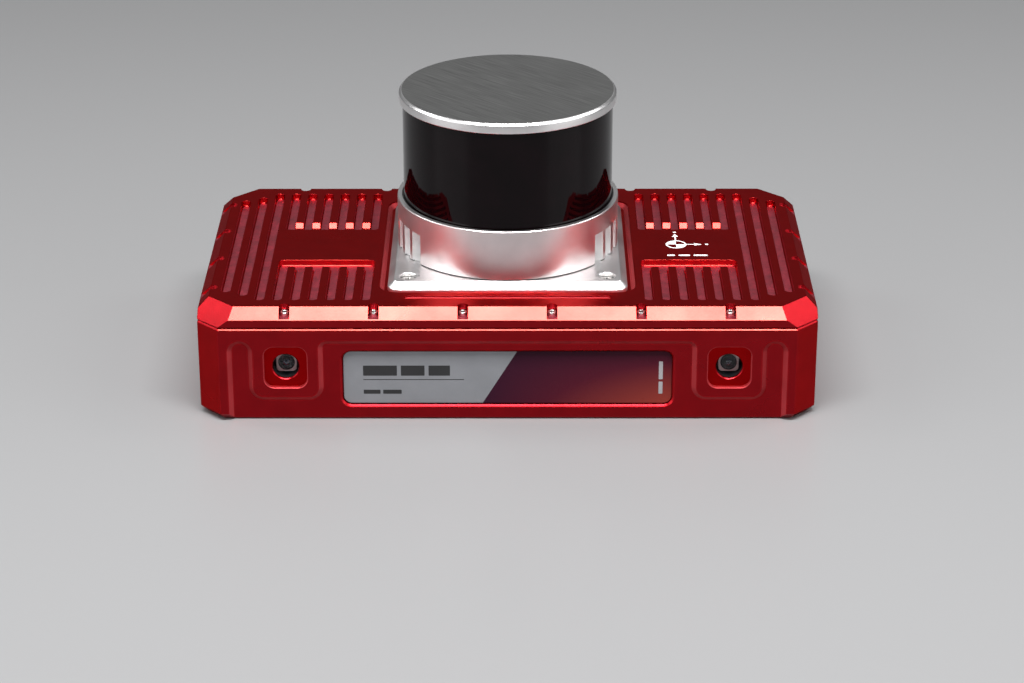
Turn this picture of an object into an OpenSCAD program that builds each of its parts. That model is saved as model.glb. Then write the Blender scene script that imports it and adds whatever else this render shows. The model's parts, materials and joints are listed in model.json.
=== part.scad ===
// Lidar scanner module: a spinning lidar on a two-part finned housing with two
// front cameras. Origin: centre of the underside, on the spin axis. +X right,
// -Y front, +Z up. All sizes in millimetres.

/* [Housing] */
// Width of the housing across the front
body_w = 280; // [272:1:300]
// Depth of the housing from front to back
body_d = 158; // [154:1:176]
// Leg of the 45 degree cut on each upright corner
corner_cut = 10; // [8:0.5:12]
// Height of the lower housing
tub_h = 45.6; // [45:0.1:50]
// Gap that the cover gasket fills
gasket_t = 0.5; // [0.3:0.1:0.8]
// Height of the top cover
cover_h = 8.4; // [8.2:0.1:10]
// Leg of the 45 degree bevel round the top cover
cover_bevel = 5; // [3:0.5:5.5]
// Leg of the 45 degree bevel round the underside
base_bevel = 3.4; // [1:0.2:4]
// Thickness of the side and rear walls
wall_t = 5; // [4:0.5:5.5]
// Thickness of the front wall
front_wall_t = 10; // [10:0.5:11]
// Thickness of the floor
floor_t = 5; // [4:0.5:6]

/* [Cooling slots] */
// Distance between neighbouring slots
slot_pitch = 8; // [7.6:0.1:8]
// Width of a slot at the surface
slot_w = 4.5; // [4:0.1:5]
// Depth of a slot
slot_depth = 3; // [2:0.2:3.4]
// Distance of the innermost slot from the middle
slot_first_x = 64; // [63:0.5:65]
// Half length of the long slots
slot_half_l = 66.7; // [64:0.1:68]

/* [Front face] */
// Depth of the sunk field on the front
field_depth = 2.6; // [1.5:0.1:3]
// Distance of each camera from the middle
camera_x = 100; // [98:0.5:101]
// Height of the cameras
camera_z = 26.2; // [26:0.2:28]
// Diameter of each camera opening
camera_hole_d = 12; // [11:0.2:12.4]
// Width of the label pocket
label_w = 151; // [120:1:155]
// Height of the label pocket
label_h = 28.2; // [24:0.2:29]

/* [Lidar] */
// Radius of the round lidar base
lidar_r = 51.5; // [51.3:0.1:52]
// Half width of the square lidar foot
foot_half = 54.7; // [54.2:0.1:55]
// Outer radius of the lidar window
window_r = 48.6; // [48.2:0.1:48.8]
// Radius of the lidar cap
cap_r = 50.2; // [49.5:0.1:51]
// Number of stator teeth
teeth = 9; // [6:1:9]
// Number of rotor magnets
magnets = 12; // [8:2:16]
// Number of balls in each bearing
balls = 8; // [6:1:9]

/* [Hidden] */
$fn = 96;
eps = 0.01;
// How far a cutter runs past the face that it opens
over = 1;

// Levels of the housing
cover_z = tub_h + gasket_t;
top_z = cover_z + cover_h;
front_y = -body_d / 2;
rear_y = body_d / 2;
field_y = front_y + field_depth;
inner_front_y = front_y + front_wall_t;
inner_rear_y = rear_y - wall_t - 1;
lip_bevel = 1;

// Cover screws, M2.5
screw_inset = 5.7;
screw_r = 1.22;
screw_hole_r = 1.35;
screw_thread_r = 1.25;
screw_head_r = 2;
screw_head_h = 1.85;
screw_key_r = 0.95;
gasket_hole_r = 1.6;
gasket_inset = 1.4;
screw_end_z = tub_h - 8;
notch_r = 2.42;
notch_z = top_z - 4.5;
boss_r = 4;
inner_corner = corner_cut - 2;
long_spots = [-100, -60, -20, 20, 60, 100];
short_spots = [-51.75, -17.25, 17.25, 51.75];
screw_spots = concat(
    [for (x = long_spots) [x, front_y + screw_inset, 0]],
    [for (x = long_spots) [x, rear_y - screw_inset, 180]],
    [for (y = short_spots) [body_w / 2 - screw_inset, y, 90]],
    [for (y = short_spots) [screw_inset - body_w / 2, y, -90]]
);

// Cover slots
edge_break = 0.25;
slot_groups = 6;
slots_a_side = 9;
outer_half_l = [slot_half_l, slot_half_l - 5.2, slot_half_l - 9.3];
channel_y = 19.2;
channel_foot_y = 24.6;
groove_size = [93, 3.2, 1];
groove_y = -63.9;
pocket_half = [58.5, 57.4];
pocket_depth = 2.4;
pocket_r = 8.5;
lead_hole_r = 12;
seal_groove = [18.4, 16];
seal_groove_depth = 1.6;

// Underside mounting holes, M6
mount_spots = [for (x = [-110, 110]) for (y = [-60, 60]) [x, y]];
mount_r = 2.5;
mount_depth = 10;
mount_boss_r = 7;
mount_boss_z = 13;

// Front field and label
field_top_z = 39.65;
field_half_w = 126.5;
field_r = 4;
finger_rise = 8;
block_half_w = 14.5;
block_bottom_z = 12;
block_r = 4.5;
label_z = 19.85;
label_bevel = 1;
label_pocket_depth = 2.8;
label_pocket_r = 5;
plate_t = 1;
plate_r = 3.8;
plate_edge = 0.1;
plate_gap = 0.2;

// Cameras
camera_recess = [20, 20.5];
camera_recess_z = 26.45;
camera_recess_depth = 2;
camera_recess_r = 4;
camera_recess_edge = 0.5;
hole_wall_t = 1.8;
window_pocket_r = 8.2;
camera_window_r = 7.8;
camera_window_t = 1.2;
seal_t = 0.5;
window_front_y = front_y + camera_recess_depth + hole_wall_t;
body_front_y = window_front_y + camera_window_t + seal_t;
snout_w = 9.4;
snout_back = 1.7;
snout_edge = 0.3;
clamp_bore_r = 6.4;
barrel_r = 3.75;
barrel_h = 0.5;
lens_seat = 0.2;
lens_dome_r = 4;
lens_r = 2.7;
camera_box = [22, 14, 22];
camera_corner_r = 2;
camera_board = [20, 1.6, 20];

// Rear panel
panel_z = 24;
power_x = -80;
data_x = -40;
antenna_x = [40, 80];
m12_r = 6;
m12_bore_r = 4.3;
m12_flange_r = 9;
m12_flange_t = 2.8;
m12_reach = 11;
m12_stem = 13;
sma_r = 3.17;
sma_bore_r = 2.1;
sma_hex_r = 4.6;
sma_hex_t = 2;
sma_reach = 8;
sma_stem = 11;
m12_groove = [m12_r + 2.4, m12_r + 0.6];
sma_groove = [sma_r + 1.1, sma_r + 0.3];
panel_seal_t = 1;
seal_gap = 0.1;
core_floor = 1;
core_face = 5;
fit_gap = 0.05;
m12_core_r = m12_bore_r - 0.8;
vent_r = 7;
vent_t = 2.4;
vent_edge = 0.6;
vent_stem_r = 4;

// Electronics
board_z = 29;
board_t = 1.6;
board_size = [196, 112];
board_y = 6;
chip_x = -50;
chip_h = 3;
standoff_spots = [for (x = [-90, 0, 90]) for (y = [-42, 54]) [x, y]];
standoff_r = 3.4;
lead_r = 2.4;
board_screw_r = 1.22;
board_screw_l = 8;
board_hole_r = 1.6;
plug_h = 5;

// Lidar levels
lidar_z = top_z - pocket_depth - 0.1;
foot_top_z = top_z + 2.8;
foot_bevel = 3.2;
foot_corner_r = 6;
base_floor_z = lidar_z + 4;
fin_top_z = foot_top_z + 14.7;
base_top_z = foot_top_z + 23.9;
seat_z = base_top_z - 4.2;
window_top_z = base_top_z + 45.7;
cap_z = window_top_z + seal_t;
cap_bevel = 1.3;
cap_top_z = cap_z + 4.8;
plug_gap = 0.2;
window_inner_r = window_r - 3;
base_inner_r = 44;
seat_r = 49.4;
lidar_screw_at = 45.35;
lidar_screw_r = 1.95;
lidar_thread_r = 2;
lidar_hole_r = 2.2;
lidar_head_r = 3.3;
lidar_head_h = 1.9;
lidar_bore_r = 3.8;
lidar_key_r = 1.45;
mark_r = 0.45;
mark_depth = 2;
mark_x = 40.5;
lidar_head_z = foot_top_z - 3.4;
fin_t = 1.1;
fin_faces = [26.8, 19.4, 11.4, 3.8];
first_fin_x = 40.1;
fin_step = 0.3;
drum_gap = [0.4, 0.5];
rim_break = 0.6;
base_lead_r = 9;
base_screw_at = 38;
seal_cord = [17.2, 0.79];
seal_floor = 0.6;

// Lidar drive, heights above the base floor
post_r = 6;
post_bore_r = 3.5;
post_flange_r = 15.8;
post_flange_z = base_floor_z + 4;
post_top_z = cap_z - 5.4;
stator_z = post_flange_z;
stator_h = 6;
stator_r = 26;
stator_ring = [12, 17];
tooth_w = 4;
tooth_inset = 0.5;
tooth_gap = 0.02;
coil_x = 18;
coil_w = 8;
coil_over = 1.2;
magnet_r = 26.6;
magnet_t = 2;
yoke_t = 2;
disc_z = stator_z + 9;
disc_t = 3;
rotor_r = 42;
top_disc_z = cap_z - 16.4;
hub_r = 13;
top_disc_r = 40;
magnet_gap = 0.6;
race_r = 10.5;
race_t = 1.4;
cage_r = [7.9, 8.6];
cage_inset = 0.9;
bearing_h = 5;
ball_r = 1.2;
ball_pitch_r = 8.25;
ball_gap = 0.05;
bearing_zs = [disc_z + 1, top_disc_z - bearing_h];
coil_r = [20, 32];
coil_gap = 1.2;
base_board_z = base_floor_z + 1.5;
encoder_t = 0.8;
encoder_gap = 1;
encoder_r = [34, 41];
optic_x = 10.5;
optic_half_w = 22;
optic_r = 9.2;
optic_y = [-36, -15.5];
optic_z = disc_z + disc_t;
optic_mid_z = (optic_z + top_disc_z) / 2;

// ---------- helpers ----------

// A half profile given from bottom to top, closed by its mirror image
function both_sides(p) = concat(p, [for (i = [len(p) - 1:-1:0]) [-p[i][0], p[i][1]]]);

// A straight bar with the profile p, lying across the direction of the angle
module bar(p, angle, l) {
    rotate([0, 0, angle]) rotate([90, 0, 0]) linear_extrude(l, center = true) polygon(both_sides(p));
}

// A block with cut upright corners; ends lists [inset, height] for the straight
// sides and corner_ends lists them for the corner faces
module cut_corner_block(ends, corner_ends) {
    diagonal = (body_w / 2 + body_d / 2 - corner_cut) / sqrt(2);
    intersection() {
        bar([for (q = ends) [body_w / 2 - q[0], q[1]]], 0, 2 * body_w);
        bar([for (q = ends) [body_d / 2 - q[0], q[1]]], 90, 2 * body_w);
        bar([for (q = corner_ends) [diagonal - q[0], q[1]]], 45, 2 * body_w);
        bar([for (q = corner_ends) [diagonal - q[0], q[1]]], -45, 2 * body_w);
    }
}

// A round-cornered block; levels lists [inset, height] from one end to the other
module soft_block(w, d, r, levels) {
    last = len(levels) - 1;
    if (w - 2 * r > eps)
        rotate([90, 0, 90]) linear_extrude(w - 2 * r, center = true)
            polygon(both_sides([for (q = levels) [d / 2 - q[0], q[1]]]));
    if (d - 2 * r > eps)
        rotate([90, 0, 0]) linear_extrude(d - 2 * r, center = true)
            polygon(both_sides([for (q = levels) [w / 2 - q[0], q[1]]]));
    for (sx = (w - 2 * r > eps) ? [-1, 1] : [0]) for (sy = (d - 2 * r > eps) ? [-1, 1] : [0])
        translate([sx * (w / 2 - r), sy * (d / 2 - r), 0]) rotate_extrude()
            polygon(concat(
                [[0, levels[0][1]]],
                [for (q = levels) [r - q[0], q[1]]],
                [[0, levels[last][1]]]
            ));
}

// A cutter for a pocket whose mouth lies on z = 0 and has a broken edge
module pocket(w, d, r, depth, bevel = edge_break) {
    soft_block(w, d, r, [[bevel, -depth], [bevel, -bevel], [0, 0], [0, 1]]);
}

// Turns a part made on z = 0 so that its +Z points out of the front or the rear
module on_front(x, y, z) {
    translate([x, y, z]) rotate([90, 0, 0]) children();
}

module on_rear(x, y, z) {
    translate([x, y, z]) rotate([-90, 0, 0]) children();
}

module tube(r_out, r_in, h) {
    difference() {
        cylinder(r = r_out, h = h);
        translate([0, 0, -over]) cylinder(r = r_in, h = h + 2 * over);
    }
}

module at_screws() {
    for (s = screw_spots) translate([s[0], s[1], 0]) rotate([0, 0, s[2]]) children();
}

module at_lidar_corners(at) {
    for (x = [-at, at]) for (y = [-at, at]) translate([x, y, 0]) children();
}

// A cap screw: head on z = 0, shank below it
module cap_screw(head_r, head_h, shank_r, shank_l, key_r) {
    edge = 0.3;
    key_floor = 0.45;
    difference() {
        union() {
            rotate_extrude() polygon([
                [0, 0], [head_r, 0], [head_r, head_h - edge], [head_r - edge, head_h], [0, head_h]
            ]);
            translate([0, 0, -shank_l]) cylinder(r = shank_r, h = shank_l + eps);
        }
        translate([0, 0, head_h * key_floor]) cylinder(r = key_r, h = head_h, $fn = 6);
    }
}

// ---------- housing ----------

// Plan of the space inside the lower housing
module cavity_plan() {
    half_w = body_w / 2 - wall_t;
    flat_w = half_w - inner_corner;
    difference() {
        polygon([
            [-flat_w, inner_front_y], [flat_w, inner_front_y],
            [half_w, inner_front_y + inner_corner], [half_w, inner_rear_y - inner_corner],
            [flat_w, inner_rear_y], [-flat_w, inner_rear_y],
            [-half_w, inner_rear_y - inner_corner], [-half_w, inner_front_y + inner_corner]
        ]);
        for (s = screw_spots) translate([s[0], s[1]]) circle(r = boss_r);
    }
}

// The sunk field on the front, with a raised block left round each camera
module front_field() {
    deep = 30;
    levels = [[field_depth, -field_depth], [0, 0], [0, 1]];
    spread = [[-field_depth, -field_depth], [0, 0], [0, 2]];
    finger_w = field_half_w - camera_x - block_half_w;
    middle_w = 2 * (camera_x - block_half_w);
    full_h = field_top_z + deep;
    band_h = camera_z + deep;
    block_h = 2 * deep;
    on_front(0, front_y, 0) {
        translate([0, field_top_z - full_h / 2, 0]) soft_block(middle_w, full_h, field_r, levels);
        for (s = [-1, 1]) translate([s * (field_half_w - finger_w / 2), field_top_z - full_h / 2, 0])
            soft_block(finger_w, full_h, finger_w / 2, levels);
        difference() {
            translate([0, camera_z - band_h / 2, 0])
                soft_block(2 * field_half_w, band_h, field_r, levels);
            for (s = [-1, 1]) translate([s * camera_x, block_bottom_z + block_h / 2, 0])
                soft_block(2 * block_half_w, block_h, block_r, spread);
            translate([-body_w / 2, block_bottom_z + finger_rise, -deep / 2]) cube([body_w, deep, deep]);
        }
    }
}

module camera_openings() {
    for (s = [-1, 1]) {
        on_front(s * camera_x, front_y, camera_recess_z)
            pocket(camera_recess[0], camera_recess[1], camera_recess_r, camera_recess_depth,
                camera_recess_edge);
        on_front(s * camera_x, front_y + front_wall_t / 2, camera_z)
            cylinder(d = camera_hole_d, h = front_wall_t, center = true);
        on_front(s * camera_x, inner_front_y + over, camera_z)
            cylinder(r = window_pocket_r, h = inner_front_y + over - window_front_y);
    }
}

module rear_hole(x, r) {
    on_rear(x, inner_rear_y - over, panel_z) cylinder(r = r, h = rear_y - inner_rear_y + 2 * over);
}

module rear_groove(x, radii) {
    on_rear(x, rear_y - panel_seal_t, panel_z) tube(radii[0], radii[1], panel_seal_t + over);
}

module rear_openings() {
    for (x = [power_x, data_x]) {
        rear_hole(x, m12_r + 0.2);
        rear_groove(x, m12_groove);
    }
    for (x = antenna_x) {
        rear_hole(x, sma_r + 0.1);
        rear_groove(x, sma_groove);
    }
    rear_hole(0, vent_stem_r + 0.05);
}

module lower_housing() {
    color("firebrick") difference() {
        cut_corner_block(
            [[base_bevel, 0], [0, base_bevel], [0, tub_h - lip_bevel], [lip_bevel, tub_h]],
            [[base_bevel, 0], [0, base_bevel], [0, tub_h - lip_bevel], [lip_bevel, tub_h]]
        );
        difference() {
            translate([0, 0, floor_t]) linear_extrude(tub_h) cavity_plan();
            for (p = mount_spots) translate([p[0], p[1], 0])
                cylinder(r = mount_boss_r, h = mount_boss_z);
        }
        for (p = mount_spots) translate([p[0], p[1], -over])
            cylinder(r = mount_r, h = mount_depth + over);
        for (s = screw_spots) translate([s[0], s[1], screw_end_z - over])
            cylinder(r = screw_thread_r, h = tub_h);
        front_field();
        on_front(0, field_y, label_z)
            pocket(label_w, label_h, label_pocket_r, label_pocket_depth, label_bevel);
        camera_openings();
        rear_openings();
    }
}

// One group of short slots that share a cross channel
module slot_group() {
    wide = (slot_groups - 1) * slot_pitch + slot_w;
    mid_x = slot_first_x + (slot_groups - 1) * slot_pitch / 2;
    slope_w = wide - slot_w;
    channel_d = channel_foot_y - channel_y;
    translate([mid_x, channel_y + channel_d / 2, 0]) pocket(wide, channel_d, slot_w / 2, slot_depth);
    translate([mid_x, channel_foot_y, 0]) rotate([90, 0, 90])
        linear_extrude(slope_w, center = true)
            polygon([
                [-over, -slot_depth], [0, -slot_depth], [slot_depth, 0], [slot_depth, over], [-over, over]
            ]);
    for (i = [0:slot_groups - 1]) {
        l = slot_half_l - channel_y - over;
        translate([slot_first_x + i * slot_pitch, slot_half_l - l / 2, 0])
            pocket(slot_w, l, slot_w / 2, slot_depth);
    }
}

module cooling_slots() {
    for (sx = [0, 1]) mirror([sx, 0, 0]) {
        for (sy = [0, 1]) mirror([0, sy, 0]) slot_group();
        for (i = [slot_groups:slots_a_side - 1])
            translate([slot_first_x + i * slot_pitch, 0, 0])
                pocket(slot_w, 2 * outer_half_l[i - slot_groups], slot_w / 2, slot_depth);
    }
}

module top_cover() {
    color("crimson") difference() {
        translate([0, 0, cover_z]) cut_corner_block(
            [[0, 0], [0, cover_h - cover_bevel], [cover_bevel, cover_h]],
            [[0, 0], [cover_h, cover_h]]
        );
        translate([0, 0, top_z]) {
            cooling_slots();
            translate([0, groove_y, 0])
                pocket(groove_size[0], groove_size[1], groove_size[1] / 2, groove_size[2]);
            pocket(2 * pocket_half[0], 2 * pocket_half[1], pocket_r, top_z - lidar_z, pocket_depth);
        }
        at_screws() {
            translate([0, 0, notch_z]) cylinder(r = notch_r, h = cover_h);
            translate([-notch_r, -2 * screw_inset, notch_z])
                cube([2 * notch_r, 2 * screw_inset, cover_h]);
            translate([0, 0, cover_z - over]) cylinder(r = screw_hole_r, h = cover_h);
        }
        at_lidar_corners(lidar_screw_at) translate([0, 0, cover_z - over])
            cylinder(r = lidar_thread_r, h = cover_h);
        translate([0, 0, cover_z - over]) cylinder(r = lead_hole_r, h = cover_h);
        translate([0, 0, lidar_z - seal_groove_depth])
            tube(seal_groove[0], seal_groove[1], seal_groove_depth + over);
    }
}

module cover_gasket() {
    far_x = body_w / 2 - gasket_inset;
    far_y = body_d / 2 - gasket_inset;
    color("black") translate([0, 0, tub_h]) linear_extrude(gasket_t) difference() {
        polygon([
            [corner_cut - far_x, -far_y], [far_x - corner_cut, -far_y],
            [far_x, corner_cut - far_y], [far_x, far_y - corner_cut],
            [far_x - corner_cut, far_y], [corner_cut - far_x, far_y],
            [-far_x, far_y - corner_cut], [-far_x, corner_cut - far_y]
        ]);
        cavity_plan();
        for (s = screw_spots) translate([s[0], s[1]]) circle(r = gasket_hole_r);
    }
}

module cover_screws() {
    color("silver") at_screws() translate([0, 0, notch_z])
        cap_screw(screw_head_r, screw_head_h, screw_r, notch_z - screw_end_z, screw_key_r);
}

module label_plate() {
    inset = 2 * (label_bevel + plate_gap);
    color("darkslategray") on_front(0, field_y + label_pocket_depth, label_z)
        soft_block(label_w - inset, label_h - inset, plate_r,
            [[0, 0], [0, plate_t - plate_edge], [plate_edge, plate_t]]);
}

module vent_plug() {
    slot = [3, 2, 1];
    color("dimgray") difference() {
        union() {
            on_rear(0, rear_y, panel_z) rotate_extrude() polygon([
                [0, 0], [vent_r, 0], [vent_r, vent_t - vent_edge], [vent_r - vent_edge, vent_t],
                [0, vent_t]
            ]);
            on_rear(0, inner_rear_y - over, panel_z)
                cylinder(r = vent_stem_r, h = rear_y - inner_rear_y + 2 * over);
        }
        for (a = [0:60:300]) translate([0, rear_y + vent_t - over, panel_z]) rotate([0, a, 0])
            translate([vent_r - slot[0] + vent_edge, 0, -slot[2] / 2]) cube(slot);
    }
}

// ---------- cameras ----------

module camera_window() {
    color("lightblue", 0.5) on_front(camera_x, window_front_y + camera_window_t, camera_z)
        cylinder(r = camera_window_r, h = camera_window_t);
}

// Housing of one camera: clamp ring, square lens holder and rear box
module camera_body() {
    reach = inner_front_y - body_front_y;
    snout_reach = reach - snout_back;
    color("gray") on_front(camera_x, inner_front_y, camera_z) {
        translate([0, 0, -over]) tube(camera_window_r, clamp_bore_r, reach + over);
        soft_block(snout_w, snout_w, camera_corner_r,
            [[0, -over], [0, snout_reach - snout_edge], [snout_edge, snout_reach]]);
        translate([0, 0, -camera_box[1]])
            soft_block(camera_box[0], camera_box[2], camera_corner_r,
                [[0, 0], [0, camera_box[1] - seal_gap]]);
    }
}

module lens_barrel() {
    color("black") on_front(camera_x, body_front_y + snout_back, camera_z) difference() {
        cylinder(r = barrel_r, h = barrel_h);
        translate([0, 0, lens_seat]) cylinder(r1 = lens_r, r2 = lens_r + 0.6, h = barrel_h);
    }
}

module front_lens() {
    sink = 0.05;
    color("midnightblue") on_front(camera_x, body_front_y + snout_back, camera_z) rotate_extrude()
        intersection() {
            translate([0, barrel_h - sink - lens_dome_r]) circle(r = lens_dome_r);
            translate([0, lens_seat]) square([lens_r, barrel_h]);
        }
}

module camera_seals() {
    color("black") for (s = [-1, 1]) on_front(s * camera_x, body_front_y, camera_z)
        tube(window_pocket_r - seal_gap, clamp_bore_r, seal_t);
}

module camera_boards() {
    color("darkgreen") for (s = [-1, 1])
        translate([
            s * camera_x - camera_board[0] / 2, inner_front_y + camera_box[1],
            camera_z - camera_board[2] / 2
        ])
            cube(camera_board);
}

module left() {
    mirror([1, 0, 0]) children();
}

// ---------- rear panel ----------

module round_connector(x) {
    edge = 0.6;
    core_end = 2;
    key = [0.9, 1.2, 6];
    color("gainsboro") on_rear(x, rear_y, panel_z) difference() {
        union() {
            rotate_extrude() polygon([
                [0, 0], [m12_flange_r, 0], [m12_flange_r, m12_flange_t - edge],
                [m12_flange_r - edge, m12_flange_t], [m12_r, m12_flange_t],
                [m12_r, m12_reach - edge], [m12_r - edge, m12_reach], [0, m12_reach]
            ]);
            translate([0, 0, -m12_stem]) cylinder(r = m12_r, h = m12_stem + eps);
        }
        translate([0, 0, over]) cylinder(r = m12_bore_r, h = m12_reach);
        translate([0, 0, -m12_stem - over]) cylinder(r = m12_core_r, h = m12_stem + over + core_end);
        translate([m12_bore_r - key[0] / 2, -key[1] / 2, m12_reach - key[2] + over]) cube(key);
    }
}

module antenna_connectors() {
    bore_floor = 3;
    color("goldenrod") for (x = antenna_x) on_rear(x, rear_y, panel_z) difference() {
        union() {
            cylinder(r = sma_hex_r, h = sma_hex_t, $fn = 6);
            translate([0, 0, sma_hex_t - eps]) cylinder(r = sma_r, h = sma_reach);
            translate([0, 0, -sma_stem]) cylinder(r = sma_r, h = sma_stem + eps);
        }
        translate([0, 0, bore_floor]) cylinder(r = sma_bore_r, h = sma_reach);
    }
}

module connector_cores() {
    color("black") for (x = [power_x, data_x]) on_rear(x, rear_y, panel_z) {
        translate([0, 0, core_floor]) cylinder(r = m12_bore_r - fit_gap, h = core_face - core_floor);
        translate([0, 0, -m12_stem])
            cylinder(r = m12_core_r - 2 * fit_gap, h = m12_stem + core_floor + eps);
    }
}

// A ring of contact pins on the face of a round connector's core
module pin_ring(x, count, at, r, l) {
    on_rear(x, rear_y, panel_z) for (i = [0:count - 1])
        rotate([0, 0, (i + 0.5) * 360 / count]) translate([at, 0, core_face]) cylinder(r = r, h = l);
}

module connector_pins() {
    power_pin = [0.5, 4.5];
    data_pin = [0.4, 4];
    antenna_pin = [0.65, 5.5];
    color("gold") {
        pin_ring(power_x, 4, 2.4, power_pin[0], power_pin[1]);
        pin_ring(power_x, 1, 0, power_pin[0], power_pin[1]);
        pin_ring(data_x, 8, 2.8, data_pin[0], data_pin[1]);
        for (x = antenna_x) on_rear(x, rear_y, panel_z)
            translate([0, 0, 3]) cylinder(r = antenna_pin[0], h = antenna_pin[1]);
    }
}

// A hexagon nut on the inside of the rear wall
module panel_nut(x, hex_r, thread_r, h) {
    on_rear(x, inner_rear_y - h, panel_z) difference() {
        cylinder(r = hex_r, h = h, $fn = 6);
        translate([0, 0, -over]) cylinder(r = thread_r + 0.02, h = h + 2 * over);
    }
}

module connector_nuts() {
    color("lightgray") {
        for (x = [power_x, data_x]) panel_nut(x, 9.5, m12_r, 3);
        for (x = antenna_x) panel_nut(x, 5, sma_r, 2.5);
    }
}

// A seal ring in its groove, a little narrower than the groove
module panel_seal(x, radii) {
    on_rear(x, rear_y - panel_seal_t, panel_z)
        tube(radii[0] - seal_gap, radii[1] + seal_gap, panel_seal_t);
}

module connector_seals() {
    color("black") {
        for (x = [power_x, data_x]) panel_seal(x, m12_groove);
        for (x = antenna_x) panel_seal(x, sma_groove);
    }
}

// ---------- electronics ----------

module main_board() {
    color("darkgreen") translate([0, 0, board_z]) difference() {
        translate([-board_size[0] / 2, board_y - board_size[1] / 2, 0])
            cube([board_size[0], board_size[1], board_t]);
        for (p = standoff_spots) translate([p[0], p[1], -over])
            cylinder(r = board_hole_r, h = board_t + 2 * over);
    }
}

module board_parts() {
    processor = [38, 38, chip_h];
    memory = [14, 10, 1.2];
    radio = [28, 42, 3.5];
    socket = [24, 5, 4];
    lead_plug = [14, 8, plug_h];
    coil_can = [3.2, 8];
    color("dimgray") translate([0, 0, board_z + board_t]) {
        translate([chip_x - processor[0] / 2, board_y - processor[1] / 2, 0]) cube(processor);
        for (y = [-30, -16, 28, 42]) translate([20, y, 0]) cube(memory);
        for (y = [-34:12:38]) translate([46, y, 0]) cylinder(r = coil_can[0], h = coil_can[1]);
        translate([60, -20, 0]) cube(radio);
        for (x = [-80, 56]) translate([x, -49, 0]) cube(socket);
        translate([-lead_plug[0] / 2, -lead_plug[1] / 2, 0]) cube(lead_plug);
    }
}

module board_standoffs() {
    h = board_z - floor_t;
    color("goldenrod") for (p = standoff_spots) translate([p[0], p[1], floor_t]) difference() {
        cylinder(r = standoff_r, h = h, $fn = 6);
        translate([0, 0, h - board_screw_l - over])
            cylinder(r = board_screw_r + fit_gap, h = board_screw_l + 2 * over);
    }
}

module board_screws() {
    head = [2.6, 1.8];
    color("silver") for (p = standoff_spots) translate([p[0], p[1], board_z + board_t])
        cap_screw(head[0], head[1], board_screw_r, board_t + board_screw_l, 1.15);
}

module heat_spreader() {
    size = 60;
    bevel = 6;
    spreader_z = board_z + board_t + chip_h;
    color("lightsteelblue") translate([chip_x, board_y, spreader_z])
        soft_block(size, size, bevel + 1, [[bevel, 0], [0, bevel], [0, cover_z - spreader_z]]);
}

module navigation_unit() {
    size = [96, 70, 18];
    color("slategray") translate([0, board_y, floor_t])
        soft_block(size[0], size[1], 3, [[0, 0], [0, size[2] - 1], [1, size[2]]]);
}

module lidar_lead() {
    start_z = board_z + board_t + plug_h;
    end_z = base_floor_z + 8;
    color("black") translate([0, 0, start_z]) cylinder(r = lead_r, h = end_z - start_z);
}

// ---------- lidar, fixed parts ----------

// Upright slots that cut one corner of the round base back to flat steps
module fin_slots() {
    for (i = [0:len(fin_faces) - 1]) {
        reach = sqrt(pow(lidar_r, 2) - pow(fin_faces[i], 2));
        start = (i == 0) ? first_fin_x : sqrt(pow(lidar_r, 2) - pow(fin_faces[i - 1], 2)) + fin_t;
        slot = (i == len(fin_faces) - 1) ? start - fin_step : start;
        translate([slot, fin_faces[i], foot_top_z])
            cube([reach - slot + over / 5, lidar_r, fin_top_z - foot_top_z]);
    }
}

module lidar_base() {
    foot_h = foot_top_z - lidar_z;
    neck_r = lidar_r - drum_gap[0];
    neck_z = foot_top_z + drum_gap[1];
    screw_boss = [2.2, 1.5];
    color("silver") difference() {
        union() {
            translate([0, 0, lidar_z]) soft_block(2 * foot_half, 2 * foot_half, foot_corner_r,
                [[0, 0], [0, foot_h - foot_bevel], [foot_bevel, foot_h]]);
            rotate_extrude() polygon([
                [0, lidar_z + over], [neck_r, lidar_z + over], [neck_r, neck_z],
                [lidar_r, neck_z], [lidar_r, base_top_z - rim_break],
                [lidar_r - rim_break, base_top_z], [0, base_top_z]
            ]);
        }
        difference() {
            translate([0, 0, base_floor_z]) cylinder(r = base_inner_r, h = base_top_z);
            for (a = [45:90:315]) rotate([0, 0, a]) translate([base_screw_at, 0, base_floor_z - over])
                cylinder(r = screw_boss[0], h = screw_boss[1] + over);
        }
        translate([0, 0, seat_z]) cylinder(r = seat_r, h = base_top_z);
        translate([0, 0, lidar_z - over]) cylinder(r = base_lead_r, h = foot_h);
        for (sx = [0, 1]) for (sy = [0, 1]) mirror([sx, 0, 0]) mirror([0, sy, 0]) fin_slots();
        at_lidar_corners(lidar_screw_at) {
            translate([0, 0, lidar_z - over]) cylinder(r = lidar_hole_r, h = foot_h + 2 * over);
            translate([0, 0, lidar_head_z]) cylinder(r = lidar_bore_r, h = foot_h);
        }
        for (x = [-mark_x, mark_x]) for (y = [-lidar_screw_at, lidar_screw_at])
            translate([x, y, foot_top_z - mark_depth]) cylinder(r = mark_r, h = mark_depth + over);
    }
}

module lidar_gasket() {
    color("black") translate([0, 0, lidar_z - seal_groove_depth / 2]) rotate_extrude()
        translate([seal_cord[0], 0]) circle(r = seal_cord[1]);
}

module lidar_screws() {
    shank_l = lidar_head_z - cover_z - 0.5;
    color("gray") at_lidar_corners(lidar_screw_at) translate([0, 0, lidar_head_z])
        cap_screw(lidar_head_r, lidar_head_h, lidar_screw_r, shank_l, lidar_key_r);
}

module lower_window_seal() {
    seal_top_z = base_top_z - rim_break;
    color("black") rotate_extrude() polygon([
        [window_inner_r, seat_z], [seat_r, seat_z], [seat_r, seal_top_z],
        [window_r, seal_top_z], [window_r, seat_z + seal_floor], [window_inner_r, seat_z + seal_floor]
    ]);
}

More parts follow.
